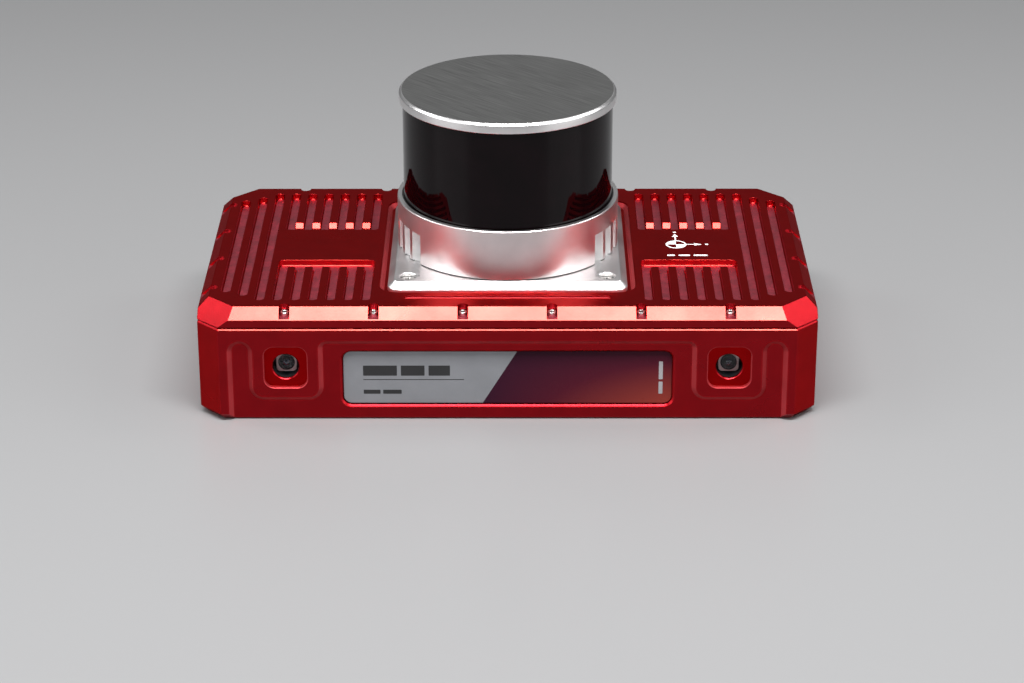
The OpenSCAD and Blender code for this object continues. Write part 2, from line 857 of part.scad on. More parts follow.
module lidar_window() {
    color([0.05, 0.02, 0.03]) translate([0, 0, seat_z + seal_floor])
        tube(window_r, window_inner_r, window_top_z - seat_z - seal_floor);
}

module upper_window_seal() {
    color("black") translate([0, 0, window_top_z]) tube(window_r, window_inner_r, seal_t);
}

module lidar_cap() {
    plug_r = window_inner_r - plug_gap;
    under_bevel = 0.4;
    color("lightgray") rotate_extrude() polygon([
        [0, post_top_z], [plug_r, post_top_z], [plug_r, cap_z], [cap_r - under_bevel, cap_z],
        [cap_r, cap_z + under_bevel], [cap_r, cap_top_z - cap_bevel],
        [cap_r - cap_bevel, cap_top_z], [0, cap_top_z]
    ]);
}

module center_post() {
    color("darkgray") rotate_extrude() polygon([
        [post_bore_r, base_floor_z], [post_flange_r, base_floor_z], [post_flange_r, post_flange_z],
        [post_r, post_flange_z], [post_r, post_top_z], [post_bore_r, post_top_z]
    ]);
}

module base_board() {
    color("darkgreen") translate([0, 0, base_board_z]) tube(base_inner_r - 0.5, 32, board_t);
}

module encoder_reader() {
    bottom_z = base_board_z + board_t;
    color("black") translate([34, -5, bottom_z])
        cube([8, 10, disc_z - encoder_t - encoder_gap - bottom_z]);
}

module at_teeth() {
    for (i = [0:teeth - 1]) rotate([0, 0, i * 360 / teeth]) children();
}

module stator_core() {
    shoe = [3, 13, stator_h];
    color("gray") translate([0, 0, stator_z]) {
        tube(stator_ring[1], stator_ring[0], stator_h);
        at_teeth() intersection() {
            tube(stator_r, stator_ring[1] - 0.1, stator_h);
            union() {
                translate([0, -tooth_w / 2, tooth_inset])
                    cube([stator_r, tooth_w, stator_h - 2 * tooth_inset]);
                translate([stator_r - 2, -shoe[1] / 2, 0]) cube(shoe);
            }
        }
    }
}

module stator_coils() {
    color("peru") translate([0, 0, stator_z]) at_teeth() difference() {
        translate([coil_x, -coil_w / 2, -coil_over]) cube([5.5, coil_w, stator_h + 2 * coil_over]);
        translate([coil_x - over, -tooth_w / 2 - tooth_gap, tooth_inset - tooth_gap])
            cube([8, tooth_w + 2 * tooth_gap, stator_h - 2 * (tooth_inset - tooth_gap)]);
    }
}

module race_groove() {
    translate([ball_pitch_r, bearing_h / 2]) circle(r = ball_r + ball_gap);
}

module bearing_inner_races() {
    color("lightgray") for (z = bearing_zs) translate([0, 0, z]) rotate_extrude() difference() {
        translate([post_r, 0]) square([race_t, bearing_h]);
        race_groove();
    }
}

module bearing_outer_races() {
    color("lightgray") for (z = bearing_zs) translate([0, 0, z]) rotate_extrude() difference() {
        translate([race_r - race_t, 0]) square([race_t, bearing_h]);
        race_groove();
    }
}

module at_balls() {
    for (z = bearing_zs) for (i = [0:balls - 1])
        rotate([0, 0, i * 360 / balls]) translate([ball_pitch_r, 0, z + bearing_h / 2]) children();
}

module bearing_cages() {
    color("tan") difference() {
        for (z = bearing_zs) translate([0, 0, z + cage_inset])
            tube(cage_r[1], cage_r[0], bearing_h - 2 * cage_inset);
        at_balls() sphere(r = ball_r + ball_gap);
    }
}

module bearing_balls() {
    color("white") at_balls() sphere(r = ball_r);
}

module fixed_power_coil() {
    h = (post_top_z - top_disc_z - disc_t - coil_gap) / 2;
    color("peru") translate([0, 0, post_top_z - h]) tube(coil_r[1], coil_r[0], h);
}

// ---------- lidar, turning parts ----------

module rotor_frame() {
    yoke_r = magnet_r + magnet_t;
    color("darkgray") rotate_extrude() polygon([
        [race_r, disc_z], [yoke_r, disc_z], [yoke_r, stator_z], [yoke_r + yoke_t, stator_z],
        [yoke_r + yoke_t, disc_z], [rotor_r, disc_z], [rotor_r, disc_z + disc_t],
        [hub_r, disc_z + disc_t], [hub_r, top_disc_z],
        [top_disc_r, top_disc_z], [top_disc_r, top_disc_z + disc_t],
        [race_r, top_disc_z + disc_t]
    ]);
}

module rotor_magnets() {
    color("silver") translate([0, 0, stator_z]) difference() {
        tube(magnet_r + magnet_t, magnet_r, stator_h);
        for (i = [0:magnets - 1]) rotate([0, 0, i * 360 / magnets])
            translate([magnet_r - over, -magnet_gap / 2, -over])
                cube([magnet_t + 3, magnet_gap, stator_h + 2 * over]);
    }
}

module encoder_disc() {
    color("lightblue") translate([0, 0, disc_z - encoder_t]) tube(encoder_r[1], encoder_r[0], encoder_t);
}

module rotor_power_coil() {
    h = (post_top_z - top_disc_z - disc_t - coil_gap) / 2;
    color("peru") translate([0, 0, top_disc_z + disc_t]) tube(coil_r[1], coil_r[0], h);
}

module optic_housing() {
    depth = optic_y[1] - optic_y[0];
    color("dimgray") difference() {
        translate([-optic_half_w, optic_y[0], optic_z])
            cube([2 * optic_half_w, depth, top_disc_z - optic_z]);
        for (s = [-1, 1]) on_front(s * optic_x, optic_y[1] + over, optic_mid_z)
            cylinder(r = optic_r, h = depth + 2 * over);
    }
}

module optic_lens(x) {
    dome_r = 16;
    h = 5.5;
    color("lightblue") on_front(x, optic_y[0] + 5, optic_mid_z) intersection() {
        cylinder(r = optic_r - 0.02, h = h + over);
        translate([0, 0, h - dome_r]) sphere(r = dome_r);
    }
}

module optic_board(x0) {
    margin = 4;
    color("darkgreen") translate([x0, optic_y[1], optic_z + margin])
        cube([20, board_t, top_disc_z - optic_z - 2 * margin]);
}

module optic_array(x) {
    chip = [3, 1.2, 16];
    color("gold") translate([x - chip[0] / 2, optic_y[1] - chip[1], optic_mid_z - chip[2] / 2])
        cube(chip);
}

module balance_weight() {
    h = 9;
    color("gray") translate([0, 0, disc_z + disc_t]) intersection() {
        tube(41, 31, h);
        translate([-40, 16, 0]) cube([80, 40, h]);
    }
}

lower_housing();
top_cover();
cover_gasket();
cover_screws();
label_plate();
vent_plug();
left() camera_window();  // left_camera_window
left() camera_body();  // left_camera_body
left() lens_barrel();  // left_lens_barrel
left() front_lens();  // left_front_lens
camera_window();  // right_camera_window
camera_body();  // right_camera_body
lens_barrel();  // right_lens_barrel
front_lens();  // right_front_lens
camera_seals();
camera_boards();
round_connector(power_x);  // power_connector
round_connector(data_x);  // data_connector
antenna_connectors();
connector_cores();
connector_pins();
connector_nuts();
connector_seals();
main_board();
board_parts();
board_standoffs();
board_screws();
heat_spreader();
navigation_unit();
lidar_lead();
lidar_base();
lidar_gasket();
lidar_screws();
lower_window_seal();
lidar_window();
upper_window_seal();
lidar_cap();
center_post();
base_board();
encoder_reader();
stator_core();
stator_coils();
bearing_inner_races();
bearing_cages();
bearing_balls();
bearing_outer_races();
rotor_frame();
rotor_magnets();
encoder_disc();
fixed_power_coil();
rotor_power_coil();
optic_housing();
optic_lens(-optic_x);  // transmit_lens
optic_lens(optic_x);  // receive_lens
optic_board(-21);  // transmit_board
optic_board(1);  // receive_board
optic_array(-optic_x);  // laser_array
optic_array(optic_x);  // detector_array
balance_weight();
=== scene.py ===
import json
import math

import bmesh
import bpy
from mathutils import Matrix, Vector


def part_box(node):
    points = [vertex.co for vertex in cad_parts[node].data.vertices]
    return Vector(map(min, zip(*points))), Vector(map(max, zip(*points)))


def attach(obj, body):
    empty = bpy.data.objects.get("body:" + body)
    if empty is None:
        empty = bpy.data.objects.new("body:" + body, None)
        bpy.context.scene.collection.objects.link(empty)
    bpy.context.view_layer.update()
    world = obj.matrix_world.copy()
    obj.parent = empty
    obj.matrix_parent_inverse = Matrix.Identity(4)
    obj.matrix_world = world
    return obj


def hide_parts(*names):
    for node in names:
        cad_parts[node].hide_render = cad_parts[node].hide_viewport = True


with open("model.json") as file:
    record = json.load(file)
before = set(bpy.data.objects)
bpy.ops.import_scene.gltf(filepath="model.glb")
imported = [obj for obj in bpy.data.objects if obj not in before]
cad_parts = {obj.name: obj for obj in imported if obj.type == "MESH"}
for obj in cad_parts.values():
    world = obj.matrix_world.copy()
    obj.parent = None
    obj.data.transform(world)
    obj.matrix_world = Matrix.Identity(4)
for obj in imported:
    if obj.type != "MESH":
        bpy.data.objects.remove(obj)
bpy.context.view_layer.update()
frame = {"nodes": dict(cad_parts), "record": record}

# Lengths are in millimetres, apart from those of the camera, the floor and the lights, in metres.
MM = 0.001
nodes = frame["nodes"]


def box_mm(node):
    lo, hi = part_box(node)
    return lo / MM, hi / MM


# ---------------------------------------------------------------- camera

CAMERA_AT = Vector((0.00498, -1.26493, 0.56343))
CAMERA_DOWN = math.radians(23.839)
CAMERA_YAW = math.radians(-0.141)
CAMERA_ROLL = math.radians(-0.073)
CAMERA_LENS = 101.67

camera_data = bpy.data.cameras.new("camera")
camera_data.lens = CAMERA_LENS
camera_data.sensor_width = 36.0
camera = bpy.data.objects.new("camera", camera_data)
bpy.context.scene.collection.objects.link(camera)
look = Vector((
    math.sin(CAMERA_YAW) * math.cos(CAMERA_DOWN),
    math.cos(CAMERA_YAW) * math.cos(CAMERA_DOWN),
    -math.sin(CAMERA_DOWN),
))
level = Vector((math.cos(CAMERA_YAW), -math.sin(CAMERA_YAW), 0.0))
upright = level.cross(look)
right = math.cos(CAMERA_ROLL) * level + math.sin(CAMERA_ROLL) * upright
upward = -math.sin(CAMERA_ROLL) * level + math.cos(CAMERA_ROLL) * upright
turn = Matrix((right, upward, -look)).transposed().to_4x4()
camera.matrix_world = Matrix.Translation(CAMERA_AT) @ turn
bpy.context.scene.camera = camera


# ---------------------------------------------------------------- materials

class Shader:
    """One Principled material with short ways to feed its sockets."""

    def __init__(self, name, color, metallic=0.0, rough=0.5, **sockets):
        self.material = bpy.data.materials.new(name)
        self.material.use_nodes = True
        self.tree = self.material.node_tree
        self.bsdf = self.tree.nodes["Principled BSDF"]
        self.bsdf.inputs["Base Color"].default_value = (*color, 1.0)
        self.bsdf.inputs["Metallic"].default_value = metallic
        self.bsdf.inputs["Roughness"].default_value = rough
        for key, value in sockets.items():
            self.bsdf.inputs[key.replace("_", " ")].default_value = value
        self.color = color
        self.rough = rough
        self.where = self.tree.nodes.new("ShaderNodeTexCoord").outputs["Object"]

    def node(self, kind, **inputs):
        made = self.tree.nodes.new(kind)
        for key, value in inputs.items():
            self.feed(made, key.replace("_", " "), value)
        return made

    def feed(self, made, key, value):
        if isinstance(value, bpy.types.NodeSocket):
            self.tree.links.new(value, made.inputs[key])
        else:
            made.inputs[key].default_value = value

    def stretched(self, scale, turned=0.0):
        """Object coordinates turned about Z, then stretched, so streaks run at that angle."""
        turn = self.tree.nodes.new("ShaderNodeMapping")
        turn.inputs["Rotation"].default_value = (0.0, 0.0, turned)
        made = self.tree.nodes.new("ShaderNodeMapping")
        made.inputs["Scale"].default_value = scale
        self.tree.links.new(self.where, turn.inputs["Vector"])
        self.tree.links.new(turn.outputs["Vector"], made.inputs["Vector"])
        return made.outputs["Vector"]

    def noise(self, scale, detail=2.0, vector=None):
        made = self.node("ShaderNodeTexNoise", Scale=scale, Detail=detail)
        self.tree.links.new(vector or self.where, made.inputs["Vector"])
        return made.outputs["Fac"]

    def ramp(self, fac, stops):
        made = self.tree.nodes.new("ShaderNodeValToRGB")
        elements = made.color_ramp.elements
        while len(elements) < len(stops):
            elements.new(0.5)
        for element, (position, color) in zip(elements, stops):
            element.position = position
            element.color = (*color, 1.0)
        self.tree.links.new(fac, made.inputs["Fac"])
        return made.outputs["Color"]

    def span(self, fac, low, high, start=0.3, end=0.7):
        made = self.tree.nodes.new("ShaderNodeMapRange")
        keys = ("From Min", "From Max", "To Min", "To Max")
        for key, value in zip(keys, (start, end, low, high)):
            made.inputs[key].default_value = value
        self.tree.links.new(fac, made.inputs["Value"])
        return made.outputs["Result"]

    def vary_color(self, fac, spread):
        dark = tuple(c * (1 - spread) for c in self.color)
        light = tuple(min(1.0, c * (1 + spread)) for c in self.color)
        self.feed(self.bsdf, "Base Color", self.ramp(fac, [(0.3, dark), (0.7, light)]))

    def vary_rough(self, fac, spread):
        self.feed(self.bsdf, "Roughness", self.span(fac, self.rough - spread, self.rough + spread))

    def bump(self, fac, strength, distance):
        made = self.node("ShaderNodeBump", Strength=strength, Distance=distance * MM, Height=fac)
        self.feed(self.bsdf, "Normal", made.outputs["Normal"])

    def calc(self, operation, *values):
        made = self.tree.nodes.new("ShaderNodeMath")
        made.operation = operation
        for i, value in enumerate(values):
            self.feed(made, i, value)
        return made.outputs[0]


# Noise scales, in clouds per metre.
COLOR_CLOUDS, ROUGH_CLOUDS = 90.0, 35.0


def plain(name, color, metallic, rough, grain, bump, spread=0.12, **sockets):
    """A surface with fine grain, cloudy roughness and a little colour drift."""
    made = Shader(name, color, metallic, rough, **sockets)
    made.vary_color(made.noise(COLOR_CLOUDS, 3.0), spread)
    made.vary_rough(made.noise(ROUGH_CLOUDS, 4.0), rough * 0.18)
    made.bump(made.noise(grain, 3.0), bump, 0.05)
    return made.material


def brushed(name, color, rough, scale, turned, strength):
    """Straight brush marks that run one way."""
    made = Shader(name, color, 1.0, rough)
    marks = made.noise(1.0, 4.0, made.stretched(scale, turned))
    made.vary_color(marks, 0.16)
    made.vary_rough(marks, rough * 0.3)
    made.bump(marks, strength, 0.02)
    return made.material


RED = (0.28, 0.004, 0.008)
RED_ROUGH, RED_GRAIN, RED_DRIFT = 0.31, 5200.0, 0.08
SILVER_ROUGH, SILVER_GRAIN = 0.34, 6400.0
RED_COAT = {"Coat_Weight": 0.1, "Coat_Roughness": 0.2, "Coat_IOR": 1.5}
MAT = {
    "housing": plain("red_anodised", RED, 1.0, RED_ROUGH, RED_GRAIN, 0.2, RED_DRIFT,
                     Specular_Tint=(1.0, 0.1, 0.12, 1.0), **RED_COAT),
    "silver": plain("blasted_silver", (0.72, 0.71, 0.71), 1.0, SILVER_ROUGH, SILVER_GRAIN, 0.3,
                    0.05),
    "machined": brushed("machined_aluminium", (0.6, 0.6, 0.61), 0.32, (60.0, 2600.0, 60.0), 0.3,
                        0.25),
    "steel": plain("screw_steel", (0.66, 0.64, 0.62), 1.0, 0.34, 3000.0, 0.2, 0.1),
    "iron": brushed("stator_iron", (0.32, 0.32, 0.34), 0.45, (40.0, 40.0, 5200.0), 0.0, 0.5),
    "window": plain("dark_window", (0.002, 0.0006, 0.001), 0.0, 0.035, 60.0, 0.01, 0.3,
                    IOR=1.46, Specular_IOR_Level=0.16),
    "rubber": plain("black_rubber", (0.018, 0.018, 0.019), 0.0, 0.62, 2600.0, 0.3),
    "black": plain("black_plastic", (0.022, 0.022, 0.024), 0.0, 0.42, 2400.0, 0.25),
    "board": plain("solder_mask", (0.012, 0.11, 0.045), 0.0, 0.32, 1200.0, 0.2, 0.2,
                   Coat_Weight=0.6, Coat_Roughness=0.15),
    "gold": plain("gold_plate", (0.86, 0.58, 0.22), 1.0, 0.24, 2600.0, 0.15),
    "copper": brushed("coil_copper", (0.62, 0.26, 0.12), 0.34, (60.0, 60.0, 4200.0), 0.0, 0.8),
    "lens": plain("coated_glass", (0.02, 0.022, 0.05), 0.0, 0.04, 300.0, 0.01, 0.3,
                  Coat_Weight=1.0, Coat_Roughness=0.02),
    "label": plain("label_ground", (0.04, 0.012, 0.02), 0.0, 0.3, 1800.0, 0.05),
    "cage": plain("cage_plastic", (0.55, 0.42, 0.22), 0.0, 0.5, 1800.0, 0.3),
    "magnet": plain("nickel_plate", (0.62, 0.6, 0.57), 1.0, 0.26, 2800.0, 0.15),
}

# Milled floors of the cover's slots and notches: rougher, so they catch more light.
milled = Shader("red_milled", (0.4, 0.045, 0.07), 1.0, 0.55, Coat_Weight=0.4, Coat_Roughness=0.5)
milled.vary_color(milled.noise(420.0, 4.0), 0.16)
milled.vary_rough(milled.noise(160.0, 3.0), 0.08)
milled.bump(milled.noise(1.0, 3.0, milled.stretched((500.0, 4200.0, 500.0))), 0.3, 0.04)
MAT["milled"] = milled.material

# Walls, chamfers and slopes of the red pieces take lighter copies of the red as painted light; the
# camera recesses' floors take a deeper, purer red.
POCKET_ROUGH = 0.36
# Slot and notch walls: a lighter red, painted light for walls that sit in shade.
MAT["slot_wall"] = plain("red_slot_wall_painted_light", (0.45, 0.012, 0.02), 1.0, POCKET_ROUGH, RED_GRAIN, 0.15,
                         RED_DRIFT)
MAT["recess_floor"] = plain("red_recess", (0.3, 0.002, 0.003), 1.0, POCKET_ROUGH, RED_GRAIN, 0.15,
                            RED_DRIFT, Specular_Tint=(1.0, 0.05, 0.05, 1.0))
# Chamfers and slot slopes: a lighter, pinker red with a coat, a painted highlight of the overhead
# light.
MAT["bevel"] = plain("red_bevel_painted_highlight", (0.45, 0.027, 0.021), 1.0, RED_ROUGH, RED_GRAIN, 0.2, RED_DRIFT,
                     **RED_COAT)
# Sloped walls of pockets, field and recesses: a rougher, lighter, pinker red, partly their blasted
# finish and partly painted light bounced up from the table.
MAT["blend"] = plain("red_blasted_painted_bounce", (0.36, 0.03, 0.036), 0.8, 0.5, RED_GRAIN, 0.2, RED_DRIFT)
# Side of the lidar drum: silver tinted pink, a painted reflection of the red cover.
MAT["drum"] = plain("silver_drum_painted_reflection", (0.72, 0.65, 0.65), 1.0, SILVER_ROUGH, SILVER_GRAIN, 0.3, 0.05)

# The cap's flat top is brushed at an angle to the housing.
BRUSH_TURN = 0.78
cap_top = Shader("brushed_cap", (0.26, 0.26, 0.255), 1.0, 0.4)
streaks = cap_top.noise(1.0, 5.0, cap_top.stretched((45.0, 1500.0, 45.0), BRUSH_TURN))
scratches = cap_top.noise(1.0, 4.0, cap_top.stretched((90.0, 5200.0, 90.0), BRUSH_TURN))
cap_top.vary_color(streaks, 0.24)
cap_top.vary_rough(streaks, 0.04)
cap_top.bump(scratches, 0.2, 0.02)
MAT["cap_top"] = cap_top.material

# Lens holder: bright pale pinkish metal, painted light for a part lit only through the camera
# window.
MAT["holder"] = plain("lens_holder_painted_light", (0.85, 0.68, 0.68), 0.3, 0.5, 3200.0, 0.2, 0.06)
# Dark gap at the lidar foot's seam, and painted shade inside the screw sockets.
MAT["shadow_gap"] = plain("dark_joint_and_painted_shade", (0.06, 0.06, 0.062), 0.4, 0.6, 3000.0, 0.1)
MAT["ink"] = plain("black_ink", (0.012, 0.012, 0.013), 0.0, 0.45, 2200.0, 0.1)
MAT["white_ink"] = plain("white_ink", (0.8, 0.79, 0.79), 0.0, 0.5, 2200.0, 0.1, 0.05)
MAT["grey_ink"] = plain("grey_ink", (0.26, 0.25, 0.26), 0.0, 0.5, 2200.0, 0.1)
MAT["label_silver"] = plain("label_silver", (0.21, 0.215, 0.23), 0.35, 0.4, 4200.0, 0.12, 0.05)


# ---------------------------------------------------------------- mesh helpers

# Points nearer than this are joined in a new mesh and in a finished one, in metres.
JOIN_NEW, JOIN_DONE = 2e-7, 1e-6
ON_AXIS = 1e-6
FULL_TURN = 2 * math.pi
LATHE_STEPS = 256


def mesh_object(name, points, faces):
    mesh = bpy.data.meshes.new(name)
    mesh.from_pydata([Vector(p) * MM for p in points], [], faces)
    work = bmesh.new()
    work.from_mesh(mesh)
    bmesh.ops.remove_doubles(work, verts=work.verts, dist=JOIN_NEW)
    bmesh.ops.recalc_face_normals(work, faces=work.faces)
    work.to_mesh(mesh)
    work.free()
    made = bpy.data.objects.new(name, mesh)
    bpy.context.scene.collection.objects.link(made)
    return made


def loft(name, rings):
    """A closed skin through rings of the same number of points."""
    count = len(rings[0])
    faces = []
    for k in range(len(rings) - 1):
        for i in range(count):
            j = (i + 1) % count
            faces.append((k * count + i, k * count + j, (k + 1) * count + j, (k + 1) * count + i))
    faces.append(tuple(reversed(range(count))))
    faces.append(tuple(range((len(rings) - 1) * count, len(rings) * count)))
    return mesh_object(name, [p for ring in rings for p in ring], faces)


def lathe(name, profile):
    """A ring or a disc turned from a closed profile of (radius, height)."""
    size = len(profile)
    points = []
    for i in range(LATHE_STEPS):
        angle = FULL_TURN * i / LATHE_STEPS
        points += [(r * math.cos(angle), r * math.sin(angle), z) for r, z in profile]
    faces = []
    for i in range(LATHE_STEPS):
        j = (i + 1) % LATHE_STEPS
        for k in range(size):
            m = (k + 1) % size
            if profile[k][0] < ON_AXIS and profile[m][0] < ON_AXIS:
                continue
            faces.append((i * size + k, j * size + k, j * size + m, i * size + m))
    return mesh_object(name, points, faces)


def turns(steps):
    """Angles of a whole turn in equal steps."""
    return [FULL_TURN * i / steps for i in range(steps)]


def arc(cx, cy, r, start, end, steps):
    angles = [math.radians(start + (end - start) * i / steps) for i in range(steps + 1)]
    return [(cx + r * math.cos(a), cy + r * math.sin(a)) for a in angles]


def rounded_rect(w, d, r, steps=8):
    r = min(max(r, 0.001), w / 2, d / 2)
    points = []
    for k, (sx, sy) in enumerate(((1, 1), (-1, 1), (-1, -1), (1, -1))):
        points += arc(sx * (w / 2 - r), sy * (d / 2 - r), r, 90 * k, 90 * k + 90, steps)
    return points


def sunk(depth, fillet, edge):
    """Wall of a pocket, floor first: (inset, height), with a filleted floor and a broken edge."""
    wall = []
    for turn_deg in (0, 22.5, 45, 67.5, 90):
        a = math.radians(turn_deg)
        wall.append((fillet * (1 - math.sin(a)), fillet * (1 - math.cos(a)) - depth))
    for turn_deg in (0, 30, 60):
        a = math.radians(turn_deg)
        wall.append((edge * (math.cos(a) - 1), edge * (math.sin(a) - 1)))
    wall.append((-1.5 * edge, 0.134 * edge))
    wall.append((-1.5 * edge, 2.0))
    return wall


def pocket(w, d, r, wall, at, steps=8, front=False):
    """A cutter for a round-cornered pocket in a top face, or in the front face."""
    rings = []
    for inset, z in wall:
        ring = rounded_rect(w - 2 * inset, d - 2 * inset, r - inset, steps)
        if front:
            rings.append([(at[0] + x, at[1] - z, at[2] + y) for x, y in ring])
        else:
            rings.append([(at[0] + x, at[1] + y, at[2] + z) for x, y in ring])
    return loft("cutter", rings)


def bar(x0, x1, outline):
    """A straight cutter along X with the outline of (y, z) points."""
    return loft("cutter", [[(x, y, z) for y, z in outline] for x in (x0, x1)])


def block(lo, hi):
    """A straight cutter between two corners."""
    return loft("cutter", [
        [(lo[0], lo[1], z), (hi[0], lo[1], z), (hi[0], hi[1], z), (lo[0], hi[1], z)]
        for z in (lo[2], hi[2])
    ])


def disc(x, y, z0, z1, r, steps=40, top_r=None):
    """A round cutter along Z."""
    top_r = r if top_r is None else top_r
    return loft("cutter", [
        [(x + rr * math.cos(a), y + rr * math.sin(a), z) for a in turns(steps)]
        for rr, z in ((r, z0), (top_r, z1))
    ])


def rod(x, z, y0, y1, r, steps=40, end_r=None):
    """A round cutter along Y."""
    end_r = r if end_r is None else end_r
    return loft("cutter", [
        [(x + rr * math.cos(a), y, z + rr * math.sin(a)) for a in turns(steps)]
        for rr, y in ((r, y0), (end_r, y1))
    ])


def settle(obj):
    """Applies the object's modifiers."""
    graph = bpy.context.evaluated_depsgraph_get()
    mesh = bpy.data.meshes.new_from_object(obj.evaluated_get(graph))
    obj.modifiers.clear()
    obj.data = mesh


def drop(obj):
    bpy.data.objects.remove(obj)


def combine(target, tools, operation="DIFFERENCE"):
    for tool in tools:
        change = target.modifiers.new("combine", "BOOLEAN")
        change.operation = operation
        change.solver = "EXACT"
        change.object = tool
        settle(target)
        drop(tool)


def merge(parts):
    """One object from several that don't touch."""
    work = bmesh.new()
    for part in parts:
        work.from_mesh(part.data)
    mesh = bpy.data.meshes.new(parts[0].name)
    work.to_mesh(mesh)
    work.free()
    parts[0].data = mesh
    for part in parts[1:]:
        drop(part)
    return parts[0]


def cut(target, *groups):
    combine(target, [merge(list(group)) for group in groups])


def round_edges(obj, width, segments=2):
    change = obj.modifiers.new("round", "BEVEL")
    change.width = width * MM
    change.segments = segments
    change.limit_method = "ANGLE"
    change.angle_limit = math.radians(25.0)
    settle(obj)


def smooth(obj, angle):
    """Even shading, with creases only at real edges."""
    work = bmesh.new()
    work.from_mesh(obj.data)
    bmesh.ops.remove_doubles(work, verts=work.verts, dist=JOIN_DONE)
    bmesh.ops.dissolve_degenerate(work, edges=work.edges, dist=JOIN_DONE)
    work.to_mesh(obj.data)
    work.free()
    obj.data.shade_smooth()
    obj.data.set_sharp_from_angle(angle=math.radians(angle))
    change = obj.modifiers.new("weighted", "WEIGHTED_NORMAL")
    change.keep_sharp = True
    change.weight = 50
    settle(obj)


def show(obj, name, body, slot, material=None, replaces=(), angle=32.0):
    """Finishes a piece and hangs it on its body."""
    smooth(obj, angle)
    obj.name = name
    obj.data.name = name
    obj.data.materials.clear()
    obj.data.materials.append(MAT[material or slot])
    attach(obj, body)
    if replaces:
        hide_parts(*replaces)


def paint(obj, finishes, choose):
    """Gives single faces another finish, chosen from their centre in mm and their normal."""
    for finish in finishes:
        obj.data.materials.append(MAT[finish])
    for face in obj.data.polygons:
        finish = choose(face.center / MM, face.normal)
        if finish:
            face.material_index = finishes.index(finish) + 1


def mirrored_x(points):
    return [(-x, y) for x, y in reversed(points)]


# ---------------------------------------------------------------- levels

tub_lo, tub_hi = box_mm("lower_housing")
cover_lo, cover_hi = box_mm("top_cover")
base_lo, base_hi = box_mm("lidar_base")
window_lo, window_hi = box_mm("lidar_window")
cap_lo, cap_hi = box_mm("lidar_cap")
plate_lo, plate_hi = box_mm("label_plate")
screws_lo = box_mm("cover_screws")[0]
HALF_W, HALF_D = tub_hi.x, -tub_lo.y
TOP = cover_hi.z
CORNER_SUM = HALF_W + HALF_D - 10.0
ROOT2 = math.sqrt(2.0)


def octagon(inset, corner_inset, z):
    """Plan of the housing: straight sides pulled in by inset, cut corners by corner_inset."""
    hx, hy = HALF_W - inset, HALF_D - inset
    total = CORNER_SUM - corner_inset * ROOT2
    cx, cy = total - hy, total - hx
    return [(x, y, z) for x, y in (
        (hx, -cy), (hx, cy), (cx, hy), (-cx, hy), (-hx, cy), (-hx, -cy), (-cx, -hy), (cx, -hy)
    )]


# ---------------------------------------------------------------- top cover

# A plain upright band under the corner cuts of the bevel.
BAND = 3.4
COVER_H = TOP - cover_lo.z
cover = loft("top_cover_skin", [
    octagon(0, 0, cover_lo.z), octagon(0, BAND, cover_lo.z + BAND),
    octagon(COVER_H - BAND, COVER_H, TOP),
])
round_edges(cover, 0.22)

SLOT_PITCH, SLOT_FIRST, SLOT_W, SLOT_DEEP = 8.0, 64.0, 4.5, 3.0
SLOT_END, CHANNEL_Y, CHANNEL_FOOT = 66.7, 19.2, 24.6
slot_wall = sunk(SLOT_DEEP, 0.9, 0.22)
channels, slots, slopes = [], [], []
for side in (-1, 1):
    middle = side * (SLOT_FIRST + 2.5 * SLOT_PITCH)
    for end in (-1, 1):
        depth = CHANNEL_FOOT + 1.0 - CHANNEL_Y
        channels.append(pocket(
            5 * SLOT_PITCH + SLOT_W, depth, SLOT_W / 2, slot_wall,
            (middle, end * (CHANNEL_Y + depth / 2), TOP)))
        slope = [(CHANNEL_Y + 2.4, -SLOT_DEEP), (CHANNEL_FOOT, -SLOT_DEEP),
                 (CHANNEL_FOOT + SLOT_DEEP + 0.6, 0.6), (CHANNEL_Y + 2.4, 0.6)]
        slopes.append(bar(middle - 2.5 * SLOT_PITCH, middle + 2.5 * SLOT_PITCH,
                          [(end * y, TOP + z) for y, z in slope]))
        for i in range(6):
            length = SLOT_END - CHANNEL_Y - 1.0
            slots.append(pocket(
                SLOT_W, length, SLOT_W / 2, slot_wall,
                (side * (SLOT_FIRST + i * SLOT_PITCH), end * (SLOT_END - length / 2), TOP)))
    for i, shorter in ((6, 0.0), (7, 5.2), (8, 9.3)):
        slots.append(pocket(
            SLOT_W, 2 * (SLOT_END - shorter), SLOT_W / 2, slot_wall,
            (side * (SLOT_FIRST + i * SLOT_PITCH), 0, TOP)))

POCKET_HALF_X, POCKET_HALF_Y, POCKET_DEEP = 58.5, 57.4, 2.4
pocket_wall = [(POCKET_DEEP + 0.3, -POCKET_DEEP), (POCKET_DEEP - 0.2, 0.1 - POCKET_DEEP),
               (POCKET_DEEP - 0.6, 0.4 - POCKET_DEEP), (0.3, -0.45), (-0.1, -0.15), (-0.8, 0.1),
               (-0.8, 2.0)]
sink = pocket(2 * POCKET_HALF_X, 2 * POCKET_HALF_Y, 8.5, pocket_wall, (0, 0, TOP), 14)
GROOVE_Y, GROOVE_L, GROOVE_W = -63.9, 93.0, 3.2
groove = pocket(GROOVE_L, GROOVE_W, GROOVE_W / 2, sunk(1.0, 0.5, 0.2), (0, GROOVE_Y, TOP))

